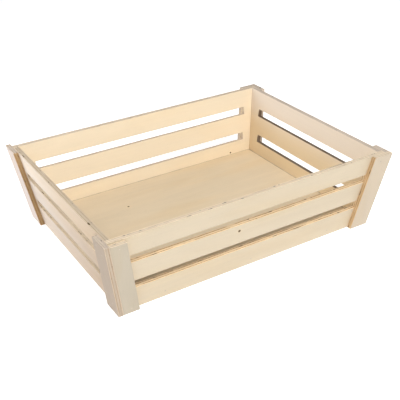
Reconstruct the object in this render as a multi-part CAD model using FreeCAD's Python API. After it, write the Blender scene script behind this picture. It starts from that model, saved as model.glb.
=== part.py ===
import FreeCAD, Part
import math
import os

# Slatted plywood fruit crate: leaning walls with long air slots, lapped corner boards and a
# floor let in between the walls. Millimetres, +Z up, origin on the ground at the crate's centre,
# long side along X. The front wall faces -Y.

# Driving dimensions
TOP_LENGTH = 400.0            # over the corner boards at the rim, along X
TOP_WIDTH = 300.0             # over the corner boards at the rim, along Y
HEIGHT = 106.0
WALL_LEAN = 9.2               # degrees that every wall leans out from upright
PLY = 6.5                     # thickness of every wall, corner board and the floor

FLOOR_TOP = 13.0              # height of the floor's upper face

SLOT_HEIGHT = 11.0
SLOT_CENTRES = (36.5, 75.0)   # heights of the two slots, measured on the wall's inner face
SLOT_END_MARGIN = 20.0        # wood left between a slot's end and the wall panel's own end

LONG_WALL_BOARD_REACH = 27.0  # from the crate's corner to the board's inner edge
SHORT_WALL_BOARD_REACH = 29.0

BRAD_RADIUS = 0.6
BRAD_HEAD_RADIUS = 1.0
BRAD_HEAD_THICKNESS = 0.5
BOARD_BRAD_LENGTH = 12.0      # through a corner board and most of the wall behind it
END_BRAD_LENGTH = 20.0        # through a corner board into the end of the wall round the corner
FLOOR_BRAD_LENGTH = 15.0      # through a wall into the floor's edge
BOARD_BRAD_HEIGHTS = (6.5, 98.0)
END_BRAD_HEIGHTS = (16.0, 90.0)
LONG_WALL_BRAD_INSET = 17.0   # from the crate's corner, along the wall
SHORT_WALL_BRAD_INSET = 21.0
LONG_WALL_FLOOR_BRADS = (-120.0, 0.0, 120.0)
SHORT_WALL_FLOOR_BRADS = (-70.0, 70.0)

LONG_BOARD_LAPS = ("front_right",)  # corners where the long wall's board laps over the short wall's

LEAN = math.radians(WALL_LEAN)
LEFT_END, RIGHT_END = -1, 1


class Wall:
    """One side of the crate, described as if it were the front one and then turned into place."""

    def __init__(self, name, turn, ends, is_long):
        self.name = name
        self.turn = turn                  # degrees about +Z that carry the front wall here
        self.ends = ends                  # what lies at the wall's left and right, seen from outside
        self.is_long = is_long
        self.length = TOP_LENGTH if is_long else TOP_WIDTH
        self.spacing = TOP_WIDTH if is_long else TOP_LENGTH
        # The long walls run out to the short walls' boards; the short walls stand between the long ones.
        self.panel_end_depth = PLY if is_long else 2 * PLY
        self.board_reach = LONG_WALL_BOARD_REACH if is_long else SHORT_WALL_BOARD_REACH
        self.brad_inset = LONG_WALL_BRAD_INSET if is_long else SHORT_WALL_BRAD_INSET
        self.floor_brads = LONG_WALL_FLOOR_BRADS if is_long else SHORT_WALL_FLOOR_BRADS


WALLS = (
    Wall("front", 0, ("left", "right"), True),
    Wall("right", 90, ("front", "back"), False),
    Wall("back", 180, ("right", "left"), True),
    Wall("left", 270, ("back", "front"), False),
)


def reach(span, z, depth):
    """Distance from the crate's middle to a leaning plane, at height z and depth below the outer face."""
    return span / 2 - (HEIGHT - z) * math.tan(LEAN) - depth / math.cos(LEAN)


def flat_face(points):
    return Part.Face(Part.makePolygon(points + points[:1]))


def leaning_solid(z_low, z_high, outline):
    """Flat-faced solid between two heights; outline(z) gives its four corners at height z, in order."""
    low = [FreeCAD.Vector(x, y, z_low) for x, y in outline(z_low)]
    high = [FreeCAD.Vector(x, y, z_high) for x, y in outline(z_high)]
    faces = [flat_face(low), flat_face(high)]
    for i, corner in enumerate(low):
        j = (i + 1) % len(low)
        faces.append(flat_face([corner, low[j], high[j], high[i]]))
    solid = Part.Solid(Part.Shell(faces))
    if solid.Volume < 0:
        solid.reverse()
    return solid


def corner_name(wall, end_name):
    """Name of the corner where a wall meets its neighbour, long wall first."""
    return f"{wall.name}_{end_name}" if wall.is_long else f"{end_name}_{wall.name}"


def board_end_depth(wall, end_name):
    """At every corner one board reaches the corner and the other one stops behind it."""
    long_board_laps = corner_name(wall, end_name) in LONG_BOARD_LAPS
    return 0.0 if wall.is_long == long_board_laps else PLY


def turned(shape, wall):
    shape.rotate(FreeCAD.Vector(0, 0, 0), FreeCAD.Vector(0, 0, 1), wall.turn)
    return shape


def slot_cutter(wall, centre_height):
    """Bar as tall as a slot that passes square through the leaning wall."""
    half_length = reach(wall.length, centre_height, wall.panel_end_depth) - SLOT_END_MARGIN
    depth = 4 * PLY
    bar = Part.makeBox(2 * half_length, depth, SLOT_HEIGHT,
                       FreeCAD.Vector(-half_length, -depth / 2, -SLOT_HEIGHT / 2))
    bar.rotate(FreeCAD.Vector(0, 0, 0), FreeCAD.Vector(1, 0, 0), WALL_LEAN)
    bar.translate(FreeCAD.Vector(0, -reach(wall.spacing, centre_height, 2 * PLY), centre_height))
    return bar


def wall_panel(wall):
    def outline(z):
        end = reach(wall.length, z, wall.panel_end_depth)
        outer = reach(wall.spacing, z, PLY)
        inner = reach(wall.spacing, z, 2 * PLY)
        return [(-end, -outer), (end, -outer), (end, -inner), (-end, -inner)]

    panel = leaning_solid(0, HEIGHT, outline)
    for centre_height in SLOT_CENTRES:
        panel = panel.cut(slot_cutter(wall, centre_height))
    return turned(panel, wall)


def corner_board(wall, end, end_name):
    tip_depth = board_end_depth(wall, end_name)

    def outline(z):
        tip = end * reach(wall.length, z, tip_depth)
        edge = end * (reach(wall.length, z, 0) - wall.board_reach)
        outer = reach(wall.spacing, z, 0)
        inner = reach(wall.spacing, z, PLY)
        return [(tip, -outer), (edge, -outer), (edge, -inner), (tip, -inner)]

    return turned(leaning_solid(0, HEIGHT, outline), wall)


def floor_panel():
    def outline(z):
        x = reach(TOP_LENGTH, z, 2 * PLY)
        y = reach(TOP_WIDTH, z, 2 * PLY)
        return [(-x, -y), (x, -y), (x, y), (-x, y)]

    return leaning_solid(FLOOR_TOP - PLY, FLOOR_TOP, outline)


def brad(wall, along, z, surface_depth, length):
    """Headed brad driven square into the wall, its head flush with the face at surface_depth."""
    start = FreeCAD.Vector(along, -reach(wall.spacing, z, surface_depth), z)
    inward = FreeCAD.Vector(0, math.cos(LEAN), math.sin(LEAN))
    head = Part.makeCylinder(BRAD_HEAD_RADIUS, BRAD_HEAD_THICKNESS, start, inward)
    shank = Part.makeCylinder(BRAD_RADIUS, length, start, inward)
    return turned(head.fuse(shank).removeSplitter(), wall)


def board_brads(wall, end):
    """Brads that hold one corner board to its wall, and on a short wall to the long wall's end too."""
    brads = []
    for z in BOARD_BRAD_HEIGHTS:
        along = end * (reach(wall.length, z, 0) - wall.brad_inset)
        brads.append(brad(wall, along, z, 0, BOARD_BRAD_LENGTH))
    if not wall.is_long:
        for z in END_BRAD_HEIGHTS:
            along = end * reach(wall.length, z, 1.5 * PLY)
            brads.append(brad(wall, along, z, 0, END_BRAD_LENGTH))
    return brads


def floor_brads(wall):
    """Brads through the wall that meet the middle of the floor's edge."""
    middle_of_grip = (PLY + FLOOR_BRAD_LENGTH) / 2
    z = FLOOR_TOP - PLY / 2 - middle_of_grip * math.sin(LEAN)
    return [brad(wall, along, z, PLY, FLOOR_BRAD_LENGTH) for along in wall.floor_brads]


def build_wood():
    pieces = {"floor_panel": floor_panel()}
    for wall in WALLS:
        pieces[f"{wall.name}_wall"] = wall_panel(wall)
        for end, end_name in zip((LEFT_END, RIGHT_END), wall.ends):
            pieces[f"{wall.name}_board_{end_name}"] = corner_board(wall, end, end_name)
    return pieces


def build_brads():
    groups = {}
    for wall in WALLS:
        groups[f"{wall.name}_floor_brads"] = floor_brads(wall)
        for end, end_name in zip((LEFT_END, RIGHT_END), wall.ends):
            group = groups.setdefault(f"{corner_name(wall, end_name)}_corner_brads", [])
            group.extend(board_brads(wall, end))
    return groups


def main():
    os.makedirs("parts", exist_ok=True)
    brads = build_brads()
    every_brad = Part.makeCompound([solid for group in brads.values() for solid in group])
    for name, piece in build_wood().items():
        piece.cut(every_brad).exportStep(f"parts/{name}.step")
    for name, group in brads.items():
        Part.makeCompound(group).exportStep(f"parts/{name}.step")


main()
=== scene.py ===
"""A slatted plywood apple crate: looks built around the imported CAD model, in metres and in its frame.

Every plywood node is replaced by a finer mesh of the same size, with eased and slightly ragged cut
edges and a solid plywood material that knows how deep in the sheet each point lies. Five corner
boards are also a little off square. The brads stay as packed and get a dull steel finish.
"""

import math

import bmesh
import bpy
import numpy as np
from mathutils import Matrix, Vector, noise


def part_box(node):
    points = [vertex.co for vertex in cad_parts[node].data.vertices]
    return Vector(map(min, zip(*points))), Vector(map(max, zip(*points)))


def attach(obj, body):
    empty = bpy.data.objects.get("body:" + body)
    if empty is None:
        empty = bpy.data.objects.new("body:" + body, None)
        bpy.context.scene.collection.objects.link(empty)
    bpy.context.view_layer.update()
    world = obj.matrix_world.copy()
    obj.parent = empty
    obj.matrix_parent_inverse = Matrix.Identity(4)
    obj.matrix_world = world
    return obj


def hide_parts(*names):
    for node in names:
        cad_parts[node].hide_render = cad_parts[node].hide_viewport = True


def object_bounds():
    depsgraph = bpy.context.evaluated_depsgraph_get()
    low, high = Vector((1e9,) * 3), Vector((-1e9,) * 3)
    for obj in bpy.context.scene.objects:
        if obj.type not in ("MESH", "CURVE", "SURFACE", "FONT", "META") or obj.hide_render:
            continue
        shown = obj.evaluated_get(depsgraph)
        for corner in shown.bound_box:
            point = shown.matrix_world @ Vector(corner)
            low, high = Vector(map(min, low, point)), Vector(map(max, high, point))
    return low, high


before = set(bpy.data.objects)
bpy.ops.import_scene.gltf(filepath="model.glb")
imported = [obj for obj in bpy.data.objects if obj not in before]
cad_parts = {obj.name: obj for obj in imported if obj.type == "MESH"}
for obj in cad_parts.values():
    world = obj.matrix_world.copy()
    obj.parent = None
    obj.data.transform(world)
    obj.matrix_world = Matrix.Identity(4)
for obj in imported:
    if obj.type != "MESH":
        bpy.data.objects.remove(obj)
cad_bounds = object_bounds()

MM = 0.001
SNAP = 0.01 * MM                      # two CAD coordinates closer than this are the same
floor_low, floor_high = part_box("floor_panel")
PLY = floor_high.z - floor_low.z      # thickness of every plywood sheet
FLOOR_TOP = floor_high.z

# Camera, at the photograph's viewing angle
VIEW_AZIMUTH = math.radians(-31.1)
VIEW_ELEVATION = math.radians(29.2)
VIEW_ROLL = math.radians(-1.35)
VIEW_DISTANCE = 0.979
VIEW_TARGET = Vector((-0.004, -0.017, 0.040))
LENS_MM = 67.3
SENSOR_MM = 36.0

# Mesh fineness and the shape of a cut edge
ALONG_STEP = 2.0 * MM                 # vertex spacing along a wall
ACROSS_STEP = 4.0 * MM                # vertex spacing up a wall
BOARD_STEP = 2.5 * MM
FLOOR_STEP = 6.0 * MM
EDGE_ROWS = (0.25, 0.5, 0.75)         # vertex rows on a cut edge, as shares of the thickness
EASED = 0.22 * MM                     # rounding of the sheet's outer edges
SEAT_RADIUS = 1.04 * MM               # of the small pit that a brad's head sits in
SEAT_DEPTH = 0.55 * MM
SEAT_CELL = 1.9 * MM                  # half the side of the mesh cell around a pit
SEAT_SIDES = 16
LOWER_LEFT = math.radians(-135)       # direction of a mesh cell's first corner from its middle
HEAD_POINTS = 8                       # fewest vertices that a brad's head has
SHARP_ANGLE = math.radians(40)        # between faces that are shaded apart

# A cut edge's roughness: depths in millimetres, and waves per metre
WANDER_MM = 0.04
WANDER_SCALE = 40
TEAR_OUT_MM = 0.05
TEAR_OUT_SCALE = 330
CHIP_MM = 1.4                         # for each unit of noise above CHIP_FROM
CHIP_SCALE = 120
CHIP_FROM = 0.44

# Seeds: each piece's mesh and material start further on in the noise than the last one's
MESH_SEED_STEP = 3.7
FIRST_LOOK_SEED = 10.0
LOOK_SEED_STEP = 5.3

OUTWARD = {"front": (0, -1), "right": (1, 0), "back": (0, 1), "left": (-1, 0)}
WALLS = ("front_wall", "right_wall", "back_wall", "left_wall")
BOARDS = (
    "front_board_left", "front_board_right", "right_board_front", "right_board_back",
    "back_board_right", "back_board_left", "left_board_back", "left_board_front",
)


# ---------------------------------------------------------------- plywood shapes

class Blank:
    """A flat plywood piece. Its two faces are given by their corners, lower left first and then
    anticlockwise as seen from the outer side. Local p runs right, q up the face and w into the sheet."""

    def __init__(self, outer, inner):
        self.origin = (outer[0] + outer[1]) / 2
        self.right = (outer[1] - outer[0]).normalized()
        self.out = self.right.cross(outer[3] - outer[0]).normalized()
        self.up = self.out.cross(self.right)
        self.faces = [[self.local(c) for c in face] for face in (outer, inner)]

    def trim(self, cuts):
        """Moves corners of both faces by (p, q) in millimetres, for boards sawn a little off square."""
        for number, (p, q) in cuts.items():
            for face in self.faces:
                face[number] = face[number] + Vector((p * MM, q * MM, 0))

    def local(self, point):
        d = point - self.origin
        return Vector((d.dot(self.right), d.dot(self.up), -d.dot(self.out)))

    def world(self, p, q, w):
        return self.origin + self.right * p + self.up * q - self.out * w


def cad_points(node):
    return [v.co.copy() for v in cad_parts[node].data.vertices]


def blank_of(node):
    """The flat piece that a wall, corner board or floor node is, from the node's own corners."""
    points = cad_points(node)
    low = min(v.z for v in points)
    high = max(v.z for v in points)

    def corner(z, x_side, y_side):
        level = [v for v in points if abs(v.z - z) < SNAP]
        return max(level, key=lambda v: v.x * x_side + v.y * y_side)

    if node == "floor_panel":
        around = ((-1, -1), (1, -1), (1, 1), (-1, 1))
        return Blank([corner(high, *s) for s in around], [corner(low, *s) for s in around])
    out = Vector(OUTWARD[node.split("_")[0]])
    right = Vector((-out.y, out.x))
    faces = []
    for side in (out, -out):
        left_end = side - right
        right_end = side + right
        faces.append([
            corner(low, *left_end), corner(low, *right_end),
            corner(high, *right_end), corner(high, *left_end),
        ])
    return Blank(*faces)


def slots_of(blank, node):
    """The node's long slots as (half length, lower q, upper q), from its inner face's vertices."""
    top = blank.faces[1][3].y
    levels = {}
    for point in cad_points(node):
        v = blank.local(point)
        above_floor = point.z > FLOOR_TOP + MM
        if above_floor and abs(v.z - PLY) < SNAP and v.y < top - MM:
            q = round(v.y, 6)
            levels[q] = max(levels.get(q, 0.0), abs(v.x))
    heights = sorted(levels)
    return [(levels[a], a, b) for a, b in zip(heights[::2], heights[1::2])]


def brad_points():
    """The vertices of every brad, one list for each, always in the same order."""
    brads = []
    for name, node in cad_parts.items():
        if not name.endswith("brads"):
            continue
        bm = bmesh.new()
        bm.from_mesh(node.data)
        bmesh.ops.remove_doubles(bm, verts=bm.verts, dist=SNAP)
        seen = set()
        for start in bm.verts:
            if start in seen:
                continue
            seen.add(start)
            island = [start]
            for v in island:
                for edge in v.link_edges:
                    other = edge.other_vert(v)
                    if other not in seen:
                        seen.add(other)
                        island.append(other)
            brads.append([v.co.copy() for v in island])
        bm.free()
    return brads


def seats_on(blank, brads):
    """(p, q) of the brad heads that lie in the blank's outer face."""
    low_left, low_right, high_right, high_left = blank.faces[0]
    found = []
    for points in brads:
        local = [blank.local(v) for v in points]
        on_face = [v for v in local if abs(v.z) < 5 * SNAP]
        if len(on_face) < HEAD_POINTS:
            continue
        p = sum(v.x for v in on_face) / len(on_face)
        q = sum(v.y for v in on_face) / len(on_face)
        share = q / high_left.y
        left_end = low_left.x + (high_left.x - low_left.x) * share
        right_end = low_right.x + (high_right.x - low_right.x) * share
        if left_end < p < right_end and 0 < q < high_left.y:
            found.append((p, q))
    return found


def stations(breaks, step, reference):
    """Row positions that pass through every break. reference says how many rows each gap gets."""
    rows = [breaks[0]]
    for k in range(len(breaks) - 1):
        count = max(1, round((reference[k + 1] - reference[k]) / step))
        for i in range(1, count + 1):
            rows.append(breaks[k] + (breaks[k + 1] - breaks[k]) * i / count)
    return rows


def face_grid(blank, slots, along_step, across_step):
    """Vertex positions (p, q) of the outer and inner face, by row and column, and the slots as
    (first row, last row, first column, last column)."""
    inside = [q for slot in slots for q in slot[1:]]
    outer_breaks = [0.0] + inside + [blank.faces[0][3].y]
    slot_line = [(q, half) for half, low, high in slots for q in (low, high)]
    middle_columns = 0
    if slots:
        middle_columns = round(2 * slots[0][0] / along_step)
        end_length = blank.faces[0][1].x - slots[0][0]
        end_columns = round(end_length / along_step)
    else:
        end_columns = round((blank.faces[0][1].x - blank.faces[0][0].x) / along_step)
    grids = []
    for face in blank.faces:
        breaks = [face[0].y] + inside + [face[3].y]
        rows = stations(breaks, across_step, outer_breaks)
        grid = []
        for q in rows:
            share = (q - face[0].y) / (face[3].y - face[0].y)
            left_end = face[0].x + (face[3].x - face[0].x) * share
            right_end = face[1].x + (face[2].x - face[1].x) * share
            if slots:
                half = float(np.interp(q, [s[0] for s in slot_line], [s[1] for s in slot_line]))
                breaks_p = [left_end, -half, half, right_end]
                counts = [end_columns, middle_columns, end_columns]
            else:
                breaks_p = [left_end, right_end]
                counts = [end_columns]
            line = [breaks_p[0]]
            for k, count in enumerate(counts):
                step = (breaks_p[k + 1] - breaks_p[k]) / count
                line.extend(breaks_p[k] + step * i for i in range(1, count + 1))
            grid.append([(p, q) for p in line])
        grids.append(grid)
    rows = [point[0][1] for point in grids[0]]
    holes = []
    for half, low, high in slots:
        first = min(range(len(rows)), key=lambda i: abs(rows[i] - low))
        last = min(range(len(rows)), key=lambda i: abs(rows[i] - high))
        holes.append((first, last, end_columns, end_columns + middle_columns))
    return grids, holes


def ring_of(first_row, last_row, first_column, last_column, is_slot):
    """The cells' border as (row, column, way out of the wood), anticlockwise."""
    sign = -1 if is_slot else 1
    ring = []
    for j in range(first_column, last_column):
        ring.append((first_row, j, (0, -sign)))
    for i in range(first_row, last_row):
        ring.append((i, last_column, (sign, 0)))
    for j in range(last_column, first_column, -1):
        ring.append((last_row, j, (0, sign)))
    for i in range(last_row, first_row, -1):
        ring.append((i, first_column, (-sign, 0)))
    return ring


def recess(p, q, share, seed):
    """How far a cut edge lies back at a point, in metres: a wandering saw line, fine tear-out and
    a few chips in the outer plies."""
    broad = noise.noise(Vector((p * WANDER_SCALE, q * WANDER_SCALE, seed)))
    fine = noise.noise(Vector((p * TEAR_OUT_SCALE, q * TEAR_OUT_SCALE, seed + share * 3.1)))
    chip = noise.noise(Vector((p * CHIP_SCALE, q * CHIP_SCALE, seed + 17.3 + round(share) * 5.7)))
    depth = WANDER_MM * (1 + broad) + TEAR_OUT_MM * (1 + fine)
    if share in (0.0, 1.0):
        depth += CHIP_MM * max(0.0, chip - CHIP_FROM)
    return depth * MM


def cut_of(way, is_slot):
    """Which of a piece's cut edges faces this way."""
    if way[1] == 0:
        return "slot_end" if is_slot else "end"
    if is_slot:
        return "sill" if way[1] > 0 else "lintel"
    return "rim" if way[1] > 0 else "foot"


def seat(bm, blank, corners, p, q):
    """Fills one cell of the outer face with a small round pit."""
    rims = []
    for depth in (0.0, SEAT_DEPTH):
        rim = []
        for k in range(SEAT_SIDES):
            angle = LOWER_LEFT + 2 * math.pi * k / SEAT_SIDES
            x = p + SEAT_RADIUS * math.cos(angle)
            y = q + SEAT_RADIUS * math.sin(angle)
            rim.append(bm.verts.new(blank.world(x, y, depth)))
        rims.append(rim)
    top, bottom = rims
    quarter = SEAT_SIDES // 4
    for c in range(4):
        here, there = corners[c], corners[(c + 1) % 4]
        arc = [top[(c * quarter + k) % SEAT_SIDES] for k in range(quarter + 1)]
        half = quarter // 2
        for k in range(quarter):
            bm.faces.new((here if k < half else there, arc[k + 1], arc[k]))
        bm.faces.new((here, there, arc[half]))
    for k in range(SEAT_SIDES):
        n = (k + 1) % SEAT_SIDES
        bm.faces.new((top[k], top[n], bottom[n], bottom[k]))
    bm.faces.new(bottom)


def stay_inside(bm, lowest, highest):
    """Pulls back the few vertices that easing an edge pushed a hair past the crate's own box."""
    for vertex in bm.verts:
        vertex.co = [min(max(c, low), high) for c, low, high in zip(vertex.co, lowest, highest)]


def plywood_mesh(name, blank, slots, seats, steps, seed, scorch_and_shade):
    """The piece's closed mesh: two gridded faces, cut edges with their own rows and eased rims.
    Each cut edge's darkness, browned wood and on some pieces painted shade in the slots, is kept in
    a vertex attribute."""
    grids, holes = face_grid(blank, slots, *steps)
    row_count, column_count = len(grids[0]), len(grids[0][0])
    seat_cells = {}
    for p, q in seats:
        cells = [
            (i, j) for i in range(row_count - 1) for j in range(column_count - 1)
            if grids[0][i][j][0] <= p <= grids[0][i][j + 1][0]
            and grids[0][i][j][1] <= q <= grids[0][i + 1][j][1]
        ]
        i, j = cells[0]
        seat_cells[(i, j)] = (p, q)
        for di, dj in ((0, 0), (0, 1), (1, 1), (1, 0)):
            grids[0][i + di][j + dj] = (p + SEAT_CELL * (2 * dj - 1), q + SEAT_CELL * (2 * di - 1))

    rings = [ring_of(0, row_count - 1, 0, column_count - 1, False)]
    rings += [ring_of(*hole, True) for hole in holes]
    border = {}
    for number, ring in enumerate(rings):
        for i, j, way in ring:
            border[(i, j)] = (way, scorch_and_shade.get(cut_of(way, number > 0), 0.0))

    def place(side_share, i, j):
        (p0, q0), (p1, q1) = grids[0][i][j], grids[1][i][j]
        p = p0 + (p1 - p0) * side_share
        q = q0 + (q1 - q0) * side_share
        darkness = 0.0
        if (i, j) in border:
            way, darkness = border[(i, j)]
            back = recess(p, q, side_share, seed)
            p -= way[0] * back
            q -= way[1] * back
        vertex = bm.verts.new(blank.world(p, q, PLY * side_share))
        vertex[scorch_and_shade_layer] = darkness
        return vertex

    def inside_hole(i, j):
        return any(a < i < b and c < j < d for a, b, c, d in holes)

    def cell_in_hole(i, j):
        return any(a <= i < b and c <= j < d for a, b, c, d in holes)

    bm = bmesh.new()
    scorch_and_shade_layer = bm.verts.layers.float.new("scorch_and_shade")
    sheets = []
    for share in (0.0, 1.0):
        sheets.append([
            [None if inside_hole(i, j) else place(share, i, j) for j in range(column_count)]
            for i in range(row_count)
        ])
    for side, sheet in enumerate(sheets):
        for i in range(row_count - 1):
            for j in range(column_count - 1):
                if cell_in_hole(i, j):
                    continue
                cell = [sheet[i][j], sheet[i][j + 1], sheet[i + 1][j + 1], sheet[i + 1][j]]
                if side == 0 and (i, j) in seat_cells:
                    seat(bm, blank, cell, *seat_cells[(i, j)])
                else:
                    bm.faces.new(cell if side == 0 else cell[::-1])
    rims = []
    for ring in rings:
        columns = []
        for i, j, way in ring:
            middle = [place(share, i, j) for share in EDGE_ROWS]
            columns.append([sheets[0][i][j]] + middle + [sheets[1][i][j]])
        for k, column in enumerate(columns):
            following = columns[(k + 1) % len(columns)]
            for a in range(len(column) - 1):
                bm.faces.new((column[a], column[a + 1], following[a + 1], following[a]))
            rims.append((column[0], following[0]))
            rims.append((column[-1], following[-1]))
    bmesh.ops.recalc_face_normals(bm, faces=bm.faces)
    eased = [bm.edges.get(pair) for pair in rims]
    bmesh.ops.bevel(bm, geom=eased, offset=EASED, segments=2, profile=0.5, affect="EDGES")
    stay_inside(bm, *cad_bounds)
    mesh = bpy.data.meshes.new(name)
    bm.to_mesh(mesh)
    bm.free()
    return mesh


def outline_distance(blank, slots, p, q):
    """Distance from points of a face to the nearest cut edge."""
    face = blank.faces[0]
    segments = [(face[k], face[(k + 1) % 4]) for k in range(4)]
    for half, low, high in slots:
        ends = [Vector((-half, low)), Vector((half, low)), Vector((half, high)), Vector((-half, high))]
        segments += [(ends[k], ends[(k + 1) % 4]) for k in range(4)]
    nearest = np.full(len(p), 1.0)
    for a, b in segments:
        ax, ay, bx, by = a.x, a.y, b.x, b.y
        length = (bx - ax) ** 2 + (by - ay) ** 2
        t = np.clip(((p - ax) * (bx - ax) + (q - ay) * (by - ay)) / length, 0, 1)
        nearest = np.minimum(nearest, np.hypot(p - ax - t * (bx - ax), q - ay - t * (by - ay)))
    return nearest


def add_sheet_coordinates(mesh, blank, slots, grain_up):
    """Stores each vertex's place in its sheet: along the face grain, across it, and into the
    sheet, and its distance from the nearest cut edge."""
    co = np.empty(len(mesh.vertices) * 3)
    mesh.vertices.foreach_get("co", co)
    d = co.reshape(-1, 3) - np.array(blank.origin)
    p = d @ np.array(blank.right)
    q = d @ np.array(blank.up)
    w = -d @ np.array(blank.out)
    along, across = (q, p) if grain_up else (p, q)
    sheet = mesh.attributes.new("sheet", "FLOAT_VECTOR", "POINT")
    sheet.data.foreach_set("vector", np.column_stack([along, across, w]).astype(np.float32).ravel())
    near = mesh.attributes.new("cut_distance", "FLOAT", "POINT")
    near.data.foreach_set("value", outline_distance(blank, slots, p, q).astype(np.float32))


# ---------------------------------------------------------------- materials

class Tree:
    """A material's node tree, with short ways to add nodes whose inputs are sockets or values."""

    def __init__(self, name):
        self.material = bpy.data.materials.new(name)
        self.material.use_nodes = True
        self.tree = self.material.node_tree
        self.tree.nodes.clear()

    def node(self, kind, inputs=(), **settings):
        node = self.tree.nodes.new(kind)
        for key, value in settings.items():
            setattr(node, key, value)
        for key, value in dict(inputs).items():
            if isinstance(value, bpy.types.NodeSocket):
                self.tree.links.new(value, node.inputs[key])
            else:
                node.inputs[key].default_value = value
        return node

    def math(self, operation, *values, clamp=False):
        node = self.node("ShaderNodeMath", dict(enumerate(values)), operation=operation, use_clamp=clamp)
        return node.outputs[0]

    def sum(self, *values):
        total = values[0]
        for value in values[1:]:
            total = self.math("ADD", total, value)
        return total

    def product(self, *values):
        total = values[0]
        for value in values[1:]:
            total = self.math("MULTIPLY", total, value)
        return total

    def ramp(self, value, low, high, start=0.0, end=1.0):
        """Smooth step of value from low to high, giving start to end."""
        inputs = {"Value": value, "From Min": low, "From Max": high, "To Min": start, "To Max": end}
        node = self.node("ShaderNodeMapRange", inputs, interpolation_type="SMOOTHSTEP")
        return node.outputs["Result"]

    def noise(self, vector, stretch, shift, detail=3.0, roughness=0.55, distortion=0.0):
        """Noise in 0..1 with this many cells per metre each way."""
        location = (shift, shift * 1.7, shift * 0.6)
        scaled = self.node("ShaderNodeMapping", {"Vector": vector, "Scale": stretch, "Location": location})
        inputs = {"Vector": scaled.outputs[0], "Scale": 1.0, "Detail": detail, "Roughness": roughness,
                  "Distortion": distortion}
        return self.node("ShaderNodeTexNoise", inputs).outputs["Fac"]

    def mix(self, factor, a, b):
        node = self.node("ShaderNodeMix", data_type="RGBA", blend_type="MIX")
        colours = [s for s in node.inputs if s.type == "RGBA"]
        for socket, value in ((node.inputs[0], factor), (colours[0], a), (colours[1], b)):
            if isinstance(value, bpy.types.NodeSocket):
                self.tree.links.new(value, socket)
            else:
                socket.default_value = value
        return [s for s in node.outputs if s.type == "RGBA"][0]

    def scale(self, colour, factor):
        node = self.node("ShaderNodeVectorMath", {0: colour, "Scale": factor}, operation="SCALE")
        return node.outputs[0]

    def finish(self, shader):
        output = self.node("ShaderNodeOutputMaterial")
        self.tree.links.new(shader, output.inputs["Surface"])
        return self.material


def rgba(colour, gain=(1.0, 1.0, 1.0)):
    return tuple(c * g for c, g in zip(colour, gain)) + (1.0,)


WHITE = (1.0, 1.0, 1.0)
WARM = (1.0, 0.965, 0.90)             # the veneer's warmer patches, against its plain colour
GLUE = (0.30, 0.16, 0.07)             # dried glue between the plies
SCORCH_AND_SHADE = (0.12, 0.07, 0.03)           # browned and dusty saw cuts and marks, and painted shade in the right wall's slots
VOID_SHADE = (0.06, 0.03, 0.02)             # painted shade inside the gaps of the inner ply
KNOT = (0.11, 0.06, 0.02)             # a knot's dark heart
HALO_GAIN = (1.12, 1.08, 0.98)        # of the paler wood around a knot
STEEL = (0.60, 0.53, 0.44)            # the brads' heads
GRIMY_STEEL = (0.42, 0.35, 0.28)
FOOT_SHADE_LOW = 0.045                 # up a wall, where the painted shade at its foot starts to fade
FOOT_SHADE_HIGH = 0.095                # and where it has gone
GLUE_DEPTH = 0.25 * PLY               # of the glue lines, either side of the sheet's middle
GLUE_HALF_WIDTH = 0.55 * MM
EDGE_DARKENING_WIDTH = 2.4 * MM                 # of the darkening along a cut edge: dirt, and on the floor painted shade where it meets the walls


def varied(t, pattern, amount):
    """A pattern in 0..1 as a change of shade around zero."""
    return t.product(t.math("SUBTRACT", pattern, 0.5), amount)


def veneer(t, sheet, streaks, pores, seed, start, end, reach, foot, figure):
    """Planed veneer and its shade: broad bands, fine streaks, cloudy mottling and short dark pores
    along the grain."""
    place = t.node("ShaderNodeSeparateXYZ", {0: sheet}).outputs
    along, across = place[0], place[1]
    bands = t.noise(sheet, (2.2, 38, 12), seed, detail=2)
    clouds = t.noise(sheet, (14, 30, 12), seed + 7, detail=3)
    waves = t.noise(sheet, (3.5, 21, 5), seed + 19, detail=1, distortion=0.3)
    rings = t.math("PINGPONG", t.product(waves, 14.0), 1.0)
    shade = t.sum(
        1.0,
        varied(t, bands, 0.08 * figure),
        varied(t, streaks, 0.09 * figure),
        varied(t, clouds, 0.06 * figure),
        varied(t, rings, 0.022 * figure),
        t.product(pores, -0.06 * figure),
    )
    length = t.node("ShaderNodeMapRange", {"Value": along, "From Min": reach[0], "From Max": reach[1]})
    plain = t.mix(length.outputs["Result"], rgba(start), rgba(end))
    # Towards the lower edge the colour is multiplied by foot: painted shade at a wall's foot, on the right
    # wall warmed as painted bounce light.
    lower = t.node("ShaderNodeVectorMath", {0: plain, 1: foot}, operation="MULTIPLY").outputs[0]
    plain = t.mix(t.ramp(across, FOOT_SHADE_LOW, FOOT_SHADE_HIGH, 1.0, 0.0), plain, lower)
    patches = t.ramp(t.noise(sheet, (5, 26, 9), seed + 23, detail=2), 0.42, 0.68)
    warmer = t.node("ShaderNodeVectorMath", {0: plain, 1: WARM}, operation="MULTIPLY").outputs[0]
    return t.mix(t.product(patches, 0.8 * figure), plain, warmer), shade


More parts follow.
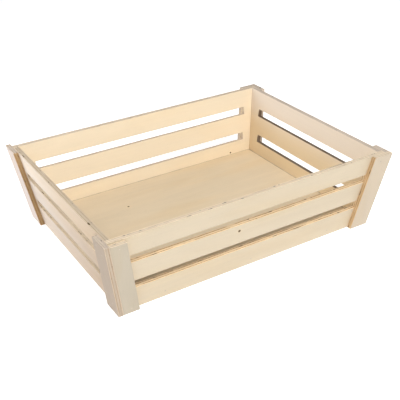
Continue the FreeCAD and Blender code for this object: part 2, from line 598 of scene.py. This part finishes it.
def cut_edge(t, sheet, depth, scorch_and_shade, fibres, lumps, seed, edge, stain_and_shade, glue, voids):
    """A sawn edge: plies told apart by depth, glue lines between them and gaps in the inner ply, painted
    dark as the shade inside them.
    """
    wobble = varied(t, t.noise(sheet, (70, 70, 0), seed + 31, detail=2), 0.5 * MM)
    level = t.math("ADD", depth, wobble)
    from_middle = t.math("ABSOLUTE", t.math("SUBTRACT", level, PLY / 2))
    core = t.ramp(from_middle, 0.22 * PLY, 0.27 * PLY, 1.0, 0.0)
    from_glue = t.math("ABSOLUTE", t.math("SUBTRACT", from_middle, GLUE_DEPTH))
    glue_here = t.ramp(t.noise(sheet, (45, 45, 200), seed + 37, detail=3), 0.30, 0.52)
    glue_shows = t.ramp(scorch_and_shade, 0.0, 0.9, 0.45, 1.0)
    near_line = t.ramp(from_glue, 0.15 * MM, GLUE_HALF_WIDTH, 1.0, 0.0)
    glue_line = t.product(near_line, glue_here, glue_shows, 0.9 * glue)
    splits = t.noise(sheet, (22, 22, 1100), seed + 53, detail=3, roughness=0.65)
    shade = t.sum(
        1.0,
        varied(t, fibres, 0.28),
        varied(t, lumps, 0.22),
        varied(t, splits, 0.70),
        t.product(core, -0.10),
    )
    # Towards the stain colour: browned wood, and on the right wall painted shade in its slots.
    stain_and_shade_share = t.product(scorch_and_shade, t.math("ADD", t.product(lumps, 0.7), 0.65))
    wood = t.mix(t.math("MULTIPLY", stain_and_shade_share, 1.0, clamp=True), rgba(edge), rgba(stain_and_shade))
    cut = t.scale(wood, shade)
    cut = t.mix(t.math("MULTIPLY", glue_line, 1.0, clamp=True), cut, rgba(GLUE))
    gaps = t.ramp(t.noise(sheet, (95, 95, 260), seed + 47, detail=2), 0.62, 0.67)
    near_glue = t.ramp(from_glue, 0.2 * MM, 0.8 * MM, 1.0, 0.0)
    void = t.math("MULTIPLY", t.product(gaps, near_glue), voids, clamp=True)
    return t.mix(void, cut, rgba(VOID_SHADE)), void


def add_knot(t, colour, place, lumps, start, knot):
    """A small round knot with a paler halo, on one face only."""
    along, across, depth = place
    knot_along, knot_across, radius, on_outer = knot
    x = t.product(t.math("SUBTRACT", along, knot_along), 1 / radius)
    y = t.product(t.math("SUBTRACT", across, knot_across), 1 / radius)
    away = t.math("SQRT", t.sum(t.product(x, x), t.product(y, y)))
    away = t.math("ADD", away, varied(t, lumps, 0.5))
    this_side = t.math("LESS_THAN" if on_outer else "GREATER_THAN", depth, PLY / 2)
    halo = t.product(t.ramp(away, 1.0, 3.4, 0.45, 0.0), this_side)
    colour = t.mix(halo, colour, rgba(start, HALO_GAIN))
    heart = t.product(t.ramp(away, 0.7, 1.4, 1.0, 0.0), this_side)
    return t.mix(heart, colour, rgba(KNOT))


def add_mark(t, colour, place, fibres, mark):
    """A ragged dark spot."""
    centre, radii, strength = mark
    squares = []
    for socket, middle, radius in zip(place, centre, radii):
        offset = t.product(t.math("SUBTRACT", socket, middle), 1 / radius)
        squares.append(t.product(offset, offset))
    away = t.math("ADD", t.sum(*squares), varied(t, fibres, 1.6))
    return t.mix(t.ramp(away, 0.5, 1.1, strength, 0.0), colour, rgba(SCORCH_AND_SHADE))


def plywood(name, seed, start, end, reach, edge, stain_and_shade=SCORCH_AND_SHADE, foot=(1.0, 1.0, 1.0), figure=1.0,
            glue=1.0, voids=1.0, dirt_and_joint_shade=0.08, knots=(), marks=()):
    """Solid three-ply material. The veneer's colour goes from start to end along the grain, over
    reach, and is multiplied by foot towards the sheet's lower edge, which paints shade there (on the
    right wall also warm bounce light). Cut edges go from the edge colour towards the stain colour as
    their darkness attribute grows: browned wood, and on the right wall painted shade in its slots.
    Faces darken along cut edges: dirt, and on the floor painted shade where it meets the walls.
    knots are (along, across, radius, on the outer side), and marks are dark spots: a place, a radius
    each way, and a strength."""
    t = Tree(name)
    sheet = t.node("ShaderNodeAttribute", attribute_name="sheet").outputs["Vector"]
    cut_distance = t.node("ShaderNodeAttribute", attribute_name="cut_distance").outputs["Fac"]
    scorch_and_shade = t.node("ShaderNodeAttribute", attribute_name="scorch_and_shade").outputs["Fac"]
    place = tuple(t.node("ShaderNodeSeparateXYZ", {0: sheet}).outputs)
    depth = place[2]

    streaks = t.noise(sheet, (14, 420, 60), seed + 3, detail=4, roughness=0.6)
    pores = t.ramp(t.noise(sheet, (170, 2300, 300), seed + 11, detail=1), 0.62, 0.72)
    fibres = t.noise(sheet, (500, 500, 1500), seed + 41, detail=3, roughness=0.7)
    lumps = t.noise(sheet, (80, 80, 80), seed + 43, detail=2)
    face, shade = veneer(t, sheet, streaks, pores, seed, start, end, reach, foot, figure)
    # Faces darken along cut edges: dirt, and on the floor painted shade in its joint with the walls.
    near_cut = t.ramp(cut_distance, 0.2 * MM, EDGE_DARKENING_WIDTH, 1.0, 0.0)
    edge_darkening_noise = t.noise(sheet, (60, 60, 60), seed + 29, detail=3)
    face = t.scale(face, t.math("SUBTRACT", shade, t.product(near_cut, edge_darkening_noise, dirt_and_joint_shade)))
    cut, void = cut_edge(t, sheet, depth, scorch_and_shade, fibres, lumps, seed, edge, stain_and_shade, glue, voids)

    into = t.math("MINIMUM", depth, t.math("SUBTRACT", PLY, depth))
    on_edge = t.ramp(into, 0.02 * MM, 0.16 * MM)
    colour = t.mix(on_edge, face, cut)
    for knot in knots:
        colour = add_knot(t, colour, place, lumps, start, knot)
    for mark in marks:
        colour = add_mark(t, colour, place, fibres, mark)

    planed = t.ramp(streaks, 0.2, 0.8, 0.50, 0.68)
    roughness = t.math("ADD", planed, t.product(on_edge, 0.22), clamp=True)
    relief = t.sum(
        t.product(streaks, 0.5),
        t.product(pores, -0.5),
        t.product(fibres, on_edge, 2.2),
        t.product(void, -6.0),
    )
    bump = t.node("ShaderNodeBump", {"Height": relief, "Strength": 0.35, "Distance": 0.12 * MM})
    shader = t.node(
        "ShaderNodeBsdfPrincipled",
        {"Base Color": colour, "Roughness": roughness, "Normal": bump.outputs[0],
         "Specular IOR Level": 0.25},
    )
    return t.finish(shader.outputs[0])


def dull_steel(name):
    t = Tree(name)
    where = t.node("ShaderNodeNewGeometry").outputs["Position"]
    grime = t.noise(where, (900, 900, 900), 5.0, detail=4)
    scratches = t.noise(where, (2500, 6000, 2500), 9.0, detail=2)
    colour = t.mix(t.ramp(grime, 0.35, 0.7), rgba(STEEL), rgba(GRIMY_STEEL))
    roughness = t.ramp(scratches, 0.2, 0.8, 0.38, 0.62)
    bump = t.node("ShaderNodeBump", {"Height": scratches, "Strength": 0.3, "Distance": 0.05 * MM})
    shader = t.node(
        "ShaderNodeBsdfPrincipled",
        {"Base Color": colour, "Metallic": 0.5, "Roughness": roughness, "Normal": bump.outputs[0]},
    )
    return t.finish(shader.outputs[0])


# ---------------------------------------------------------------- the crate

# Veneers, and the colours of sawn edges
PALE = (0.85, 0.75, 0.65)
CREAM = (0.86, 0.73, 0.54)
SAND = (0.75, 0.62, 0.44)
HONEY = (0.60, 0.51, 0.38)
GREYED = (0.47, 0.41, 0.32)
TAN = (0.60, 0.45, 0.30)
DRAB = (0.45, 0.36, 0.28)
BLUSH = (0.88, 0.76, 0.62)
OAT = (0.56, 0.47, 0.36)
ROSE = (0.70, 0.60, 0.55)
FRESH_EDGE = (0.85, 0.71, 0.53)
ASH_EDGE = (0.65, 0.55, 0.45)
DULL_EDGE = (0.60, 0.50, 0.40)
AMBER_EDGE = (0.85, 0.65, 0.40)
RED_EDGE = (0.65, 0.45, 0.25)
GREY_EDGE = (0.50, 0.40, 0.30)
BROWN_EDGE = (0.45, 0.30, 0.15)

# Looks of each piece: the veneer at the start and end of its grain, its cut edges' colour, and how
# dark each kind of cut edge is, as browned wood and on the right wall as painted shade in its slots.
# Grain runs left to right on a wall, seen from outside, and upwards on a corner board.
# Dark slot cuts: partly browned wood, partly painted shade inside the slots.
BROWN_AND_SHADED_SLOTS = {"sill": 0.8, "slot_end": 0.8, "lintel": 0.4}
STAINED_ENDS = {"end": 1.3}
PIECES = {
    "front_wall": dict(
        start=HONEY, end=HONEY, edge=FRESH_EDGE, stain_and_shade=AMBER_EDGE, glue=1.3, voids=1.5,
        scorch_and_shade={"sill": 0.9, "slot_end": 0.9, "lintel": 0.9},
        knots=((-0.023, 0.0605, 1.7 * MM, True),),
        # The long dark mark along the inner top edge is torn veneer with painted shade in its gap.
        marks=(((0.122, 0.107, 5.9 * MM), (0.028, 2.0 * MM, 0.45 * MM), 0.8),),
    ),
    "left_wall": dict(
        # PALE at the back fading to TAN at the front is painted shade, darker towards the front corner;
        # the darker foot is painted shade too.
        start=PALE, end=TAN, edge=FRESH_EDGE, foot=(0.87, 0.87, 0.90),
        # The sills are left out here, so they stay lighter than the other cuts: painted light on sills
        # that lie in the slots' shade.
        scorch_and_shade={"rim": 0.3, "slot_end": 0.3, "lintel": 0.3},
        marks=(((0.096, 0.107, 1.5 * MM), (3.5 * MM, 2.5 * MM, 1.3 * MM), 1.0),),
    ),
    "back_wall": dict(
        start=CREAM, end=CREAM, edge=FRESH_EDGE, stain_and_shade=DULL_EDGE, figure=0.7,
        scorch_and_shade={"rim": 0.5, "sill": 0.8, "slot_end": 0.2}, knots=((-0.137, 0.0146, 1.3 * MM, False),),
    ),
    "right_wall": dict(
        # The darker, warmer foot is painted shade and warm bounce light, and the dark slot cuts are partly
        # painted shade.
        start=BLUSH, end=PALE, edge=ASH_EDGE, foot=(0.95, 0.86, 0.66), figure=0.5, scorch_and_shade=BROWN_AND_SHADED_SLOTS,
    ),
    "floor_panel": dict(
        # The strong darkening along the floor's edges is dirt and painted shade where the floor meets the
        # walls.
        start=SAND, end=SAND, edge=DULL_EDGE, figure=1.1, dirt_and_joint_shade=0.8,
        knots=((-0.070, 0.185, 1.3 * MM, True),),
    ),
    "front_board_left": dict(start=GREYED, end=GREYED, edge=FRESH_EDGE),
    "front_board_right": dict(
        start=OAT, end=OAT, edge=FRESH_EDGE, stain_and_shade=RED_EDGE, scorch_and_shade=STAINED_ENDS,
    ),
    "right_board_front": dict(start=SAND, end=SAND, edge=ASH_EDGE),
    "right_board_back": dict(start=SAND, end=SAND, edge=DULL_EDGE),
    "back_board_right": dict(start=SAND, end=SAND, edge=DULL_EDGE),
    "back_board_left": dict(start=SAND, end=SAND, edge=FRESH_EDGE),
    "left_board_back": dict(
        start=ROSE, end=ROSE, edge=ASH_EDGE, stain_and_shade=BROWN_EDGE, scorch_and_shade=STAINED_ENDS, glue=1.5,
    ),
    "left_board_front": dict(
        start=DRAB, end=DRAB, edge=DULL_EDGE, stain_and_shade=GREY_EDGE, scorch_and_shade=STAINED_ENDS, glue=0.6,
    ),
}

# Corners of the boards that are a little off square, in millimetres right and up: 0 and 1 are the
# lower ones, 2 the upper right and 3 the upper left one, seen from outside. None of them goes past
# the crate's own box.
OFF_SQUARE = {
    "front_board_left": {3: (0.0, -2.2)},
    "front_board_right": {3: (-1.5, 0.0)},
    "back_board_left": {3: (0.0, -4.0)},
    "back_board_right": {2: (0.0, -1.0)},
    "right_board_back": {3: (1.3, 0.0)},
}


def build_piece(node, number, brads):
    blank = blank_of(node)
    blank.trim(OFF_SQUARE.get(node, {}))
    slots = slots_of(blank, node) if node in WALLS else []
    if node in WALLS:
        steps, grain_up, slot = (ALONG_STEP, ACROSS_STEP), False, "wall_plywood"
    elif node in BOARDS:
        steps, grain_up, slot = (BOARD_STEP, BOARD_STEP), True, "board_plywood"
    else:
        steps, grain_up, slot = (FLOOR_STEP, FLOOR_STEP), False, "floor_plywood"
    seats = [] if node == "floor_panel" else seats_on(blank, brads)
    name = node + "_plywood"
    looks = dict(PIECES[node])
    scorch_and_shade = looks.pop("scorch_and_shade", {})
    mesh = plywood_mesh(name, blank, slots, seats, steps, MESH_SEED_STEP * number, scorch_and_shade)
    add_sheet_coordinates(mesh, blank, slots, grain_up)
    mesh.polygons.foreach_set("use_smooth", [True] * len(mesh.polygons))
    mesh.set_sharp_from_angle(angle=SHARP_ANGLE)
    upper_right, upper_left = blank.faces[0][2:]
    reach = (0.0, upper_right.y) if grain_up else (upper_left.x, upper_right.x)
    seed = FIRST_LOOK_SEED + LOOK_SEED_STEP * number
    mesh.materials.append(plywood(name, seed, reach=reach, **looks))
    piece = bpy.data.objects.new(name, mesh)
    bpy.context.scene.collection.objects.link(piece)
    weighted = piece.modifiers.new("even_normals", "WEIGHTED_NORMAL")
    weighted.keep_sharp = True
    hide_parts(node)
    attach(piece, "root")


all_brads = brad_points()
for index, piece_node in enumerate(PIECES):
    build_piece(piece_node, index, all_brads)

steel = dull_steel("brad_steel")
for name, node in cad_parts.items():
    if name.endswith("brads"):
        if not node.material_slots:
            node.data.materials.append(steel)
        for holder in node.material_slots:
            holder.material = steel


# ---------------------------------------------------------------- studio

FLOOR_COLOUR = (0.50, 0.50, 0.50)
FLOOR_GLOW = 0.78                     # of the white sweep that the crate is photographed on
SURROUND_FADES_FROM = 0.25            # sines of the heights where the surround starts to darken
SURROUND_FADES_TO = 0.50              # and where it is dark
FLOOR_HALF = 8.0
LIGHTS_AIM = Vector((0, 0, 0.05))
SOFT_LIGHTS = (                       # name, azimuth, elevation, distance, size, power
    ("key", 0, 50, 2.2, 1.2, 36),
    ("right_fill", 45, 50, 2.2, 1.2, 4),
    ("left_fill", -45, 50, 2.2, 1.2, 8),
    ("back_left", -135, 20, 2.2, 1.2, 8),
    ("back_left_near", -135, 35, 0.9, 0.5, 2),
)


def add_floor():
    t = Tree("studio_floor")
    shader = t.node(
        "ShaderNodeBsdfPrincipled",
        {"Base Color": rgba(FLOOR_COLOUR), "Roughness": 0.9, "Emission Color": rgba(WHITE),
         "Emission Strength": FLOOR_GLOW},
    )
    mesh = bpy.data.meshes.new("studio_floor")
    half = FLOOR_HALF
    corners = [(-half, -half, 0), (half, -half, 0), (half, half, 0), (-half, half, 0)]
    mesh.from_pydata(corners, [], [(0, 1, 2, 3)])
    mesh.materials.append(t.finish(shader.outputs[0]))
    floor = bpy.data.objects.new("studio_floor", mesh)
    bpy.context.scene.collection.objects.link(floor)


def add_light(name, azimuth, elevation, distance, size, power):
    """Square area light on a sphere around the crate, in metres and watts. Azimuth 0 is in front, and
    grows to the right."""
    a, e = math.radians(azimuth), math.radians(elevation)
    back = Vector((math.sin(a) * math.cos(e), -math.cos(a) * math.cos(e), math.sin(e)))
    data = bpy.data.lights.new(name, "AREA")
    data.size = size
    data.energy = power
    light = bpy.data.objects.new(name, data)
    light.location = LIGHTS_AIM + back * distance
    light.rotation_euler = (-back).to_track_quat("-Z", "Y").to_euler()
    bpy.context.scene.collection.objects.link(light)


def add_surround():
    """The studio's pale surround: as bright as the sweep at the horizon and dark overhead."""
    world = bpy.data.worlds.new("studio")
    world.use_nodes = True
    nodes = world.node_tree.nodes
    links = world.node_tree.links
    direction = nodes.new("ShaderNodeTexCoord")
    parts = nodes.new("ShaderNodeSeparateXYZ")
    fade = nodes.new("ShaderNodeMapRange")
    fade.inputs["From Min"].default_value = SURROUND_FADES_FROM
    fade.inputs["From Max"].default_value = SURROUND_FADES_TO
    fade.inputs["To Min"].default_value = FLOOR_GLOW
    fade.inputs["To Max"].default_value = 0.0
    links.new(direction.outputs["Generated"], parts.inputs[0])
    links.new(parts.outputs["Z"], fade.inputs["Value"])
    links.new(fade.outputs["Result"], nodes["Background"].inputs["Strength"])
    nodes["Background"].inputs["Color"].default_value = rgba(WHITE)
    bpy.context.scene.world = world


def add_camera():
    a, e = VIEW_AZIMUTH, VIEW_ELEVATION
    back = Vector((math.sin(a) * math.cos(e), -math.cos(a) * math.cos(e), math.sin(e)))
    data = bpy.data.cameras.new("camera")
    data.sensor_width = SENSOR_MM
    data.lens = LENS_MM
    camera = bpy.data.objects.new("camera", data)
    turn = (-back).to_track_quat("-Z", "Y").to_matrix().to_4x4() @ Matrix.Rotation(VIEW_ROLL, 4, "Z")
    camera.matrix_world = Matrix.Translation(VIEW_TARGET + back * VIEW_DISTANCE) @ turn
    bpy.context.scene.collection.objects.link(camera)
    bpy.context.scene.camera = camera


add_floor()
add_surround()
for light in SOFT_LIGHTS:
    add_light(*light)
add_camera()
bpy.context.scene.view_settings.view_transform = "Standard"
